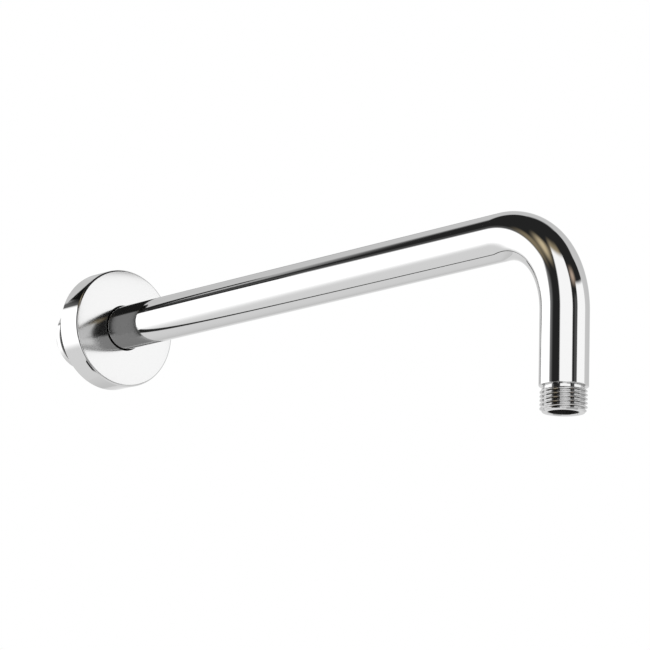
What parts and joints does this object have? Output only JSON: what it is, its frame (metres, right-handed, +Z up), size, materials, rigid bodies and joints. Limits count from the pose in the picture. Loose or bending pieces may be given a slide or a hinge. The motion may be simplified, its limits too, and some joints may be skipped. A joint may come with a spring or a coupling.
{
  "type": "shower arm",
  "caption": "Round chrome wall-mounted shower arm: a straight tube with a right-angle bend down to a threaded outlet, and a cover flange that slides along the tube.",
  "frame": {"origin": "on the tube's axis, in the plane where the collar of the inlet fitting seats at the wall", "axes": "+X leaves the wall along the arm, +Z is up, and the outlet points along -Z"},
  "size_m": [0.3835, 0.06, 0.115],
  "materials": {
    "polished_chrome": "polished",
    "turned_chrome": "polished",
    "black_rubber": "matte"
  },
  "bodies": {
    "arm": {"arm_tube": "polished_chrome", "inlet_fitting": "turned_chrome", "outlet_fitting": "turned_chrome"},
    "seal": {"flange_o_ring": "black_rubber"},
    "flange": {"wall_flange": "polished_chrome"}
  },
  "joints": [
    {"name": "flange_slide", "type": "slide", "parent": "arm", "child": "seal", "axis": [1, 0, 0], "range_m": [-0.023, 0.284]},
    {"name": "flange_spin", "type": "hinge", "parent": "seal", "child": "flange", "pos_m": [0.03, 0, 0], "axis": [1, 0, 0], "continuous": true}
  ]
}
